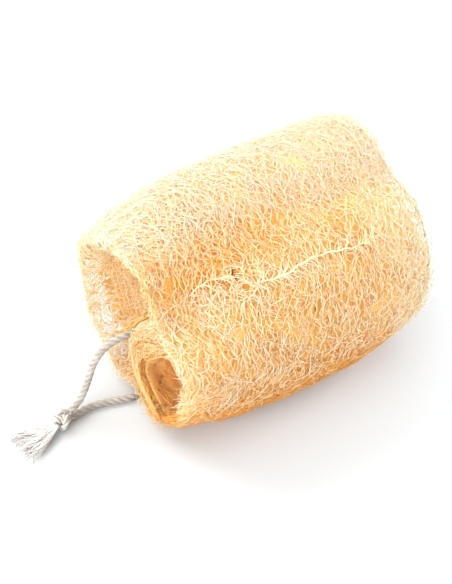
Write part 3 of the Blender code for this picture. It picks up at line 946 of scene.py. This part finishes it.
def web_strands(rng, count, steps, lengths, places, aside, radius, tone, filling=False, slope=0.15):
    """Strands that run round the web. places are distances from the near end.

    aside is a range of distances from the web or, when filling, of shares of the fibres' thickness behind it.
    """
    t = evenly(steps)
    length = rng.uniform(*lengths, (count, 1))
    x = NEAR_END + rng.uniform(*places, (count, 1))
    x = x + wander(rng, length * t, ((10 * MM, 0.8 * MM), (4 * MM, 0.35 * MM)))
    x = x + rng.normal(size=(count, 1)) * slope * length * (t - 0.5)
    x = np.clip(x, NEAR_END - 0.3 * MM, FAR_END - 1 * MM)
    share = np.clip(rng.uniform(-0.15, 1.0, (count, 1)) + length / WEB_SPAN * t, 0.0, 1.0)
    stand = rng.uniform(*aside, (count, 1))
    if filling:
        stand = 2.0 * MM + stand * (web_fullness(share) - 2.0 * MM)
        stand = stand + wander(rng, length * t, ((14 * MM, 0.9 * MM),))
    stand = stand + wander(rng, length * t, ((9 * MM, 0.5 * MM), (4 * MM, 0.25 * MM)))
    below = rng.uniform(WEB_CLEARANCE, 8 * MM, (count, 1)) if filling else WEB_CLEARANCE
    points, outward = web_point(x, share, stand, below)
    return grouped(rng, points, outward, radius, tone)


def build_front_web(mat, glowing, clear, pale):
    """The curved web behind the front channel, and the pale loops round the channel's near end."""
    rng = np.random.default_rng(16)
    inner = ("luffa_inner_fibre", "septum_front", "septum_bottom")
    x = NEAR_END + 2.0 * MM + (LENGTH - 4 * MM) * np.arange(WEB_ROWS + 1) / WEB_ROWS
    x, share = np.meshgrid(x, np.arange(WEB_COLUMNS + 1) / WEB_COLUMNS, indexing="ij")
    lumps = Flow(rng, 3 * MM, 16 * MM, 0.25 * MM, 30)
    plain, _ = web_point(x, share)
    outside, _ = web_point(x, share, lumps(plain) + SHEET_THICKNESS)
    inside, _ = web_point(x, share, lumps(plain))
    centres = plain[:-1, :-1]
    edge = np.exp(-(((centres[..., 0] - NEAR_END) / (5 * MM)) ** 2))
    kept = kept_cells(rng, centres, 0.004 + 0.08 * edge)
    attach(sheet_object("front_web_mat", outside, inside, kept, glowing, 0.5), "gourd", *inner)
    whole = (0.0, LENGTH)
    behind, before = (0.5 * MM, 1.4 * MM), (-0.7 * MM, -0.3 * MM)
    groups = [
        web_strands(rng, 800, 16, (10 * MM, 34 * MM), whole, behind, radius=0.15 * MM, tone=0.6),
        web_strands(rng, 300, 14, (8 * MM, 26 * MM), whole, before, radius=0.13 * MM, tone=0.6),
    ]
    add_strands("front_web_strands", groups, glowing, *inner)
    share, across = np.arange(CORE_ROWS + 1) / CORE_ROWS, np.arange(CORE_COLUMNS + 1) / CORE_COLUMNS
    share, across = np.meshgrid(share, across, indexing="ij")
    flat = np.stack([np.zeros_like(share), share * WEB_SPAN, across * 14 * MM], axis=-1)
    outside, _ = web_point(NEAR_END + 4.5 * MM + lumps(flat) * 2, share, across * web_fullness(share))
    inside = outside + np.array([SHEET_THICKNESS, 0.0, 0.0])
    kept = kept_cells(rng, outside[:-1, :-1], 0.05)
    piece = sheet_object("front_web_core", outside[:, ::-1], inside[:, ::-1], kept, mat, 0.6)
    attach(piece, "gourd", *inner)
    filled = dict(aside=(0.0, 1.0), filling=True)
    groups = [
        web_strands(rng, 260, 26, (20 * MM, 50 * MM), (0.0, 5 * MM), radius=0.14 * MM, tone=0.75, **filled),
        web_strands(
            rng, 520, 12, (5 * MM, 14 * MM), (1 * MM, 7 * MM), radius=0.13 * MM, tone=0.7, slope=0.9, **filled
        ),
    ]
    add_strands("front_web_filling", groups, clear, *inner)
    near, beside = (0.0, 3.5 * MM), (0.2 * MM, 3.5 * MM)
    groups = [
        web_strands(rng, 150, 26, (16 * MM, 44 * MM), near, radius=0.13 * MM, tone=0.8, slope=0.35, **filled),
        web_strands(rng, 44, 30, (24 * MM, 50 * MM), near, beside, radius=0.14 * MM, tone=0.8, slope=0.3),
    ]
    add_strands("front_web_loops", groups, pale, "luffa_fibre", "septum_front", "septum_bottom")


def funnel_point(angle, inward, aside):
    """A point of the net that narrows from the upper channel's near rim (inward 0) towards the core (1)."""
    x = NEAR_END + 0.4 * MM + FUNNEL_DEPTH * inward
    distance = (wall_radius(x, angle) - 2.6 * MM) * (1 - FUNNEL_NARROWING * inward) - aside
    return from_axis(x, angle, distance)


def build_funnel(clear):
    """The loose net inside the near end of the upper channel, and strands that droop in from its rim."""
    rng = np.random.default_rng(17)
    first, last = np.radians(FUNNEL_ANGLES)
    groups = []
    # Hoops, strands that run inwards, and curls. A crowding above 1 keeps them nearer the rim.
    for count, steps, lengths, heading, spread, crowding, radius, tone in (
        (300, 18, (14 * MM, 36 * MM), 0.0, 0.16, 1.0, 0.18 * MM, 0.95),
        (170, 16, (10 * MM, 28 * MM), math.pi / 2, 0.25, 1.3, 0.16 * MM, 0.9),
        (420, 12, (5 * MM, 14 * MM), 0.0, 1.2, 0.8, 0.13 * MM, 0.9),
    ):
        t = evenly(steps)
        length = rng.uniform(*lengths, (count, 1))
        inward = rng.uniform(0, 1, (count, 1)) ** crowding
        angle = rng.uniform(first, last, (count, 1))
        lean = rng.normal(size=(count, 1)) * spread + heading
        run = length * (t - 0.5)
        width = MEAN_RADIUS * (1 - FUNNEL_NARROWING * inward)
        sway = wander(rng, run, ((9 * MM, 0.6 * MM), (4 * MM, 0.35 * MM)))
        inward = inward + (run * np.sin(lean) + sway * np.cos(lean)) / (FUNNEL_DEPTH * 1.4)
        angle = angle + (run * np.cos(lean) - sway * np.sin(lean)) / width
        aside = rng.normal(size=(count, 1)) * 0.8 * MM + wander(rng, run, ((8 * MM, 0.4 * MM),))
        points, outward = funnel_point(np.clip(angle, first, last), np.clip(inward, 0.0, 1.0), aside)
        groups.append(grouped(rng, points, outward, radius, tone))
    groups = [thinned(rng, group, left=0.3) for group in groups]
    groups.append(
        rolled_group(rng, 150, NEAR_END, 0.15 * MM, 0.6, (5 * MM, 16 * MM), 10 * MM, DROOPING_ANGLES)
    )
    # The near net's pale tones in the clear fibre are painted light inside the upper channel's opening
    add_strands("near_net_strands", groups[:2], clear, "luffa_inner_fibre", "lining_upper")
    add_strands("near_net_curls", groups[2:], clear, "luffa_inner_fibre", "lining_upper")


def build_septa(warm):
    """The rear septum's web of wandering strands from the core to the wall, and the core's own bundle."""
    rng = np.random.default_rng(13)
    low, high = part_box("core_column")
    core = np.array([0.0, (low[1] + high[1]) / 2, (low[2] + high[2]) / 2])
    count, steps, width, thickness = 1500, 10, 32 * MM, 2.4 * MM
    share = rng.uniform(0, 1, count)
    x = rng.uniform(NEAR_END + 9 * MM, FAR_END - 5 * MM, count)
    heading = rng.uniform(0, TAU, count)
    step = rng.uniform(8 * MM, 20 * MM, count) / (steps - 1)
    xs, shares = [x], [share]
    for _ in range(steps - 1):
        heading = heading + rng.normal(size=count) * 0.3
        xs.append(xs[-1] + step * np.cos(heading))
        shares.append(shares[-1] + step * np.sin(heading) / width)
    x = np.clip(np.stack(xs, axis=1), NEAR_END + 7 * MM, FAR_END - 3 * MM)
    share = np.clip(np.stack(shares, axis=1), 0.0, 1.0)
    inner_edge = np.zeros((*x.shape, 3)) + core
    inner_edge[..., 0] = x
    outer_edge, _ = on_wall(x, np.full_like(x, math.radians(REAR_SEPTUM_ANGLE)), 1.5 * MM)
    across = outer_edge - inner_edge
    normal = unit(np.cross(across, np.array([1.0, 0.0, 0.0])))
    points = inner_edge + across * share[..., None]
    points = points + normal * (rng.uniform(-0.5, 0.5, (count, 1)) * thickness)[..., None]
    group = grouped(rng, points, normal, radius=0.2 * MM, tone=0.45, variety=0.13)
    add_strands("septum_rear_web", [group], warm, "luffa_inner_fibre", "septum_rear")
    count = 260
    t = evenly(16)
    length = rng.uniform(20 * MM, 45 * MM, (count, 1))
    x = rng.uniform(NEAR_END + 8 * MM, FAR_END - 22 * MM, (count, 1)) + length * t
    turn = rng.uniform(0, TAU, (count, 1)) + rng.normal(size=(count, 1)) * 1.2 * t
    away = 4.3 * MM * np.sqrt(rng.uniform(0.05, 1, (count, 1)))
    away = away + wander(rng, length * t, ((9 * MM, 0.4 * MM),))
    outward = np.stack([np.zeros_like(turn), np.cos(turn), np.sin(turn)], axis=-1)
    points = core + outward * away[..., None]
    points[..., 0] = np.clip(x, NEAR_END + 8 * MM, FAR_END - 2 * MM)
    group = grouped(rng, points, outward, radius=0.28 * MM, tone=0.5, variety=0.13)
    add_strands("core_bundle", [group], warm, "luffa_inner_fibre", "core_column")


# ---------------------------------------------------------------- routes and veins


def smooth_route(points, step):
    """Points about a step apart on the smooth curve through a route's own points."""
    points = [Vector(point) for point in points]
    padded = [2 * points[0] - points[1]] + points + [2 * points[-1] - points[-2]]
    found = [points[0]]
    for index in range(1, len(padded) - 2):
        near = padded[index - 1 : index + 3]
        pieces = max(1, round((near[2] - near[1]).length / step))
        found += [curve_point(*near, piece / pieces)[0] for piece in range(1, pieces + 1)]
    return np.array([tuple(point) for point in found])


def even_route(points, step):
    """The same route with points exactly the same distance apart, and their places along it."""
    runs = np.linalg.norm(np.diff(points, axis=0), axis=1)
    along = np.concatenate([[0.0], np.cumsum(runs)])
    places = np.linspace(0, along[-1], max(2, round(along[-1] / step) + 1))
    return np.stack([np.interp(places, along, points[:, axis]) for axis in range(3)], axis=1), places


def vein_groups(rng, route, first_radius, last_radius):
    """A thick strand along a route on the wall, and its side branches, which sink into the net."""
    route = [(share * LENGTH, math.radians(angle) * MEAN_RADIUS, 0) for angle, share in route]
    points, places = even_route(smooth_route(route, 1 * MM), VEIN_STEP)
    steps = len(points)
    t = evenly(steps)
    x = NEAR_END + points[None, :, 0] + wander(rng, places[None], ((7 * MM, 0.25 * MM),))
    angle = points[None, :, 1] / MEAN_RADIUS + wander(rng, places[None], ((5 * MM, 0.25 * MM),)) / MEAN_RADIUS
    below = 0.35 * MM + 0.7 * MM * (2 * t - 1) ** 8 + wander(rng, places[None], ((9 * MM, 0.15 * MM),))
    spine, outward = on_wall(x, angle, below)
    radii = (first_radius + (last_radius - first_radius) * t) * VEIN_THICKENING * MM
    radii = radii * (1 + wander(rng, places[None], ((6 * MM, 0.12),))) * taper(steps, 0.5, 0.35, 0.18)[None]
    main = (spine, radii, np.array([VEIN_TONE]), outward)
    count = int(places[-1] / VEIN_STEP)
    index = rng.integers(1, steps - 1, count)
    s = evenly(BRANCH_STEPS)
    reach = rng.uniform(2.0 * MM, 9 * MM, (count, 1))
    side = rng.choice([-1.0, 1.0], (count, 1))
    run = math.atan2(points[-1, 1] - points[0, 1], points[-1, 0] - points[0, 0])
    lean = run + side * (rng.uniform(0.25, 0.9, (count, 1)) + 0.8 * s)
    step = reach / (BRANCH_STEPS - 1)
    branch_x = x[0, index][:, None] + np.cumsum(step * np.cos(lean), axis=1)
    branch_angle = angle[0, index][:, None] + np.cumsum(step * np.sin(lean), axis=1) / MEAN_RADIUS
    branch_x = branch_x + wander(rng, reach * s, ((4 * MM, 0.35 * MM),)) * s
    branch_points, branch_outward = on_wall(branch_x, branch_angle, 0.7 * MM * s**1.5 - 0.1 * MM)
    root = 0.55 * radii[0, index][:, None].clip(max=0.3 * MM)
    branch_radii = root * taper(BRANCH_STEPS, 1.0, 0.45, 0.7)[None]
    branch_tones = BRANCH_TONE + rng.normal(size=count) * 0.08
    return [main, (branch_points, branch_radii, branch_tones, branch_outward)]


def build_veins(vein):
    """Thick strands that run along the outside."""
    rng = np.random.default_rng(14)
    for name, routes in VEINS.items():
        groups = [group for route in routes for group in vein_groups(rng, *route)]
        add_strands(name + "_strand", groups, vein, "luffa_vein", name, sides=6)


# ---------------------------------------------------------------- cord


def carried_frames(points):
    """Two directions across a route at each point, carried along it without twist."""
    along = unit(np.gradient(points, axis=0))
    first = np.cross(along[0], (0.0, 1.0, 0.0))
    if np.linalg.norm(first) < 0.1:
        first = np.cross(along[0], (0.0, 0.0, 1.0))
    across = [unit(first)]
    for direction in along[1:]:
        across.append(unit(across[-1] - direction * np.dot(across[-1], direction)))
    across = np.array(across)
    return across, np.cross(along, across)


def twisted_tubes(name, route, places, material, offset, radius, lay):
    """Round plies twisted round a route, with the ridges of their own yarns. places are distances along."""
    first, second = carried_frames(route)
    points, faces = [], []
    steps, sides = len(route), PLY_SIDES
    turns = TAU * np.arange(sides) / sides
    for ply in range(PLIES):
        phase = TAU * (places / lay + ply / PLIES)
        centre = route + offset * (first * np.cos(phase)[:, None] + second * np.sin(phase)[:, None])
        ridges = 1 + YARN_RIDGE * np.cos(4 * turns[None] + TAU * places[:, None] / (0.30 * lay))
        ring = first[:, None] * np.cos(turns)[None, :, None] + second[:, None] * np.sin(turns)[None, :, None]
        ring = centre[:, None] + ring * (radius * ridges)[..., None]
        ring[..., 2] = np.maximum(ring[..., 2], 0.02 * MM)
        base = len(points) * steps * sides
        points.append(ring.reshape(-1, 3))
        for here in range(base, base + (steps - 1) * sides, sides):
            ahead = here + sides
            for side in range(sides):
                beside = (side + 1) % sides
                faces.append((here + side, here + beside, ahead + beside, ahead + side))
        faces.append(tuple(base + side for side in reversed(range(sides))))
        faces.append(tuple(base + (steps - 1) * sides + side for side in range(sides)))
    mesh = bpy.data.meshes.new(name)
    mesh.from_pydata(np.concatenate(points).tolist(), [], faces)
    mesh.shade_smooth()
    mesh.materials.append(material)
    return linked(name, mesh)


def into_knot(route):
    """The last point of a leg's route, carried on into the knot."""
    end = Vector(route[-1])
    return tuple(end + (KNOT_CENTRE - end).normalized() * INTO_KNOT)


def build_cord(cotton):
    """The cord from the knot through the gourd and back, as two free legs and the turn inside."""
    upper = [into_knot(UPPER_ROUTE)] + list(UPPER_ROUTE[::-1])
    lower = list(LOWER_ROUTE) + [into_knot(LOWER_ROUTE)]
    route, places = even_route(smooth_route(upper + list(INSIDE_ROUTE) + lower, 0.8 * MM), 0.5 * MM)
    first, last = np.flatnonzero(route[:, 0] > HINGE_X + INTO_GOURD)[[0, -1]]
    stretches = (
        ("cord_upper_plies", "cord_leg_upper", slice(0, first + 1), UPPER_EXIT_Z),
        ("cord_inside_plies", "cord_inside", slice(first, last + 1), None),
        ("cord_lower_plies", "cord_leg_lower", slice(last, len(route)), FLOOR_Z),
    )
    for name, node, stretch, height in stretches:
        path = route[stretch]
        piece = twisted_tubes(name, path, places[stretch], cotton, PLY_OFFSET, PLY_RADIUS, CORD_LAY)
        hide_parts(node)
        if height is None:
            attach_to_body(piece, "gourd")
            continue
        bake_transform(piece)


def build_knot(cotton):
    """An overhand knot of the same cord, pulled tight."""
    t = np.linspace(0, TAU, 121)
    flat, tall = 0.95 * MM, 2.0 * MM
    x = KNOT_CENTRE.x + flat * (np.sin(t) + 2 * np.sin(2 * t))
    y = KNOT_CENTRE.y + flat * (np.cos(t) - 2 * np.cos(2 * t))
    z = KNOT_CENTRE.z - tall * np.sin(3 * t)
    route, places = even_route(np.stack([x, y, z], axis=1), 0.45 * MM)
    piece = twisted_tubes("knot_plies", route, places, cotton, KNOT_PLY_OFFSET, KNOT_PLY_RADIUS, KNOT_LAY)
    attach(piece, "hanging_loop", "cotton_cord", "knot")


def build_tassel(cotton):
    """The unlaid ends of the cord: six yarns, each opened into fine threads that curl apart."""
    rng = np.random.default_rng(15)
    heading = math.radians(TAIL_HEADING)
    groups = []
    threads, steps = YARN_THREADS, 18
    t = evenly(steps)
    for yarn in range(TAIL_YARNS):
        share = yarn / (TAIL_YARNS - 1) - 0.5
        leaving = heading + math.radians(SPREAD_AT_KNOT) * share
        going = heading + math.radians(SPREAD_BEYOND) * share
        start = KNOT_CENTRE + Vector((math.cos(leaving), math.sin(leaving), 0.0)) * 3.2 * MM
        run = TAIL_LENGTH * rng.uniform(0.85, 1.1, (threads, 1)) * t
        turn = rng.uniform(0, TAU, (threads, 1)) + TAU * 1.3 * t
        open_out = (0.45 + 1.9 * t**1.6) * MM * rng.uniform(0.4, 1.1, (threads, 1))
        side = open_out * np.cos(turn) + wander(rng, run, ((7 * MM, 0.35 * MM),)) * t
        lift = open_out * np.sin(turn) * 0.7
        x = start.x + run * math.cos(going) - side * math.sin(going)
        y = start.y + run * math.sin(going) + side * math.cos(going)
        rest = 1.4 * MM if yarn % 2 else 0.8 * MM
        z = start.z * (1 - t) ** 1.6 + rest * (1 - (1 - t) ** 1.6) + lift
        points = np.stack([x, y, np.maximum(z, 0.2 * MM)], axis=-1)
        outward = np.zeros_like(points)
        outward[..., 2] = 1.0
        radii = 0.19 * MM * rng.uniform(0.7, 1.3, (threads, 1)) * taper(steps, 1.0, 0.4, 0.4)[None]
        groups.append((points, radii, rng.uniform(0.3, 1.0, threads), outward))
    piece = strand_object("tassel_threads", groups, cotton, sides=4)
    attach(piece, "tassel", "cotton_cord", *[f"tail_yarn_{index + 1}" for index in range(TAIL_YARNS)])


# ---------------------------------------------------------------- floor, light and camera


def build_stage():
    """The floor that the scrubber lies on."""
    mesh = bpy.data.meshes.new("floor")
    side = FLOOR_HALF_SIDE
    corners = [(-side, -side, 0), (side, -side, 0), (side, side, 0), (-side, side, 0)]
    mesh.from_pydata(corners, [], [(0, 1, 2, 3)])
    made, _, shader = new_material("floor_white", 0.9)
    shader.inputs["Base Color"].default_value = (*FLOOR_COLOUR, 1.0)
    mesh.materials.append(made)
    linked("floor", mesh)


def build_light():
    """A sky that is darker at the horizon, and three soft lamps."""
    world = bpy.data.worlds.new("studio")
    world.use_nodes = True
    tree = world.node_tree
    background = tree.nodes["Background"]
    background.inputs["Strength"].default_value = WORLD_STRENGTH
    coordinates = tree.nodes.new("ShaderNodeTexCoord")
    parts = tree.nodes.new("ShaderNodeSeparateXYZ")
    tree.links.new(coordinates.outputs["Generated"], parts.inputs["Vector"])
    sky = ramp_node(tree, parts.outputs["Z"], ((HORIZON_SHARE,) * 3, (1.0, 1.0, 1.0)))
    tree.links.new(sky, background.inputs["Color"])
    scene = bpy.context.scene
    scene.world = world
    for name, place, target, size, power in LIGHTS:
        light = bpy.data.lights.new(name, "AREA")
        light.shape = "DISK"
        light.size = size
        light.energy = power
        made = linked(name, light)
        made.location = place
        made.rotation_euler = (Vector(target) - Vector(place)).to_track_quat("-Z", "Y").to_euler()
    scene.view_settings.view_transform = "Standard"
    scene.cycles.diffuse_bounces = DIFFUSE_BOUNCES
    scene.cycles.max_bounces = MOST_BOUNCES


def build_camera():
    azimuth, elevation = math.radians(CAMERA_AZIMUTH), math.radians(CAMERA_ELEVATION)
    level = math.cos(elevation)
    back = Vector((math.sin(azimuth) * level, -math.cos(azimuth) * level, math.sin(elevation)))
    data = bpy.data.cameras.new("camera")
    data.lens = CAMERA_LENS
    data.sensor_width = CAMERA_SENSOR
    data.clip_start = 0.01
    data.clip_end = 20.0
    camera = linked("camera", data)
    camera.location = CAMERA_TARGET + back * CAMERA_DISTANCE
    camera.rotation_euler = (-back).to_track_quat("-Z", "Y").to_euler()
    bpy.context.scene.camera = camera


PALE = fibre_material("pale_fibre", PALE_COLOURS, glow=(1.0, 0.86, 0.55), through=0.44, shine=PALE_SHINE)
WARM = fibre_material("warm_fibre", WARM_COLOURS, glow=(1.0, 0.83, 0.46), through=0.54)
MAT = fibre_material("mat_fibre", MAT_COLOURS, glow=(1.0, 0.81, 0.40), through=0.58)
# A paler, more translucent copy of the fibre: painted light for the shaded insides of the channels
CLEAR = fibre_material("clear_fibre", CLEAR_COLOURS, glow=(1.0, 0.85, 0.55), through=0.58)
GLOWING = fibre_material("glowing_fibre", GLOWING_COLOURS, glow=(1.0, 0.82, 0.44), through=0.62)
VEIN = fibre_material("vein_fibre", VEIN_COLOURS, glow=(0.99, 0.73, 0.30), through=0.2)
# One cotton at three brightnesses as painted light and shade: the cord painted darker, as the lamps light it
# strongly, the knot painted lighter against the shade in its creases, and the loose threads painted lighter
# against the shade between them
COTTON = cotton_material("cotton", (0.34, 0.305, 0.265), (0.46, 0.43, 0.39))
KNOT_COTTON_PAINTED_LIGHTER = cotton_material("knot_cotton_painted_lighter", (0.46, 0.43, 0.385), (0.60, 0.57, 0.53))
LOOSE_COTTON_PAINTED_LIGHTER = cotton_material("loose_cotton_painted_lighter", (0.62, 0.59, 0.55), (0.78, 0.76, 0.73))

build_mat(MAT)
build_wall(PALE, WARM)
build_linings(WARM, CLEAR)
build_front_web(MAT, GLOWING, CLEAR, PALE)
build_funnel(CLEAR)
build_septa(WARM)
build_veins(VEIN)
build_cord(COTTON)
build_knot(KNOT_COTTON_PAINTED_LIGHTER)
build_tassel(LOOSE_COTTON_PAINTED_LIGHTER)
build_stage()
build_light()
build_camera()
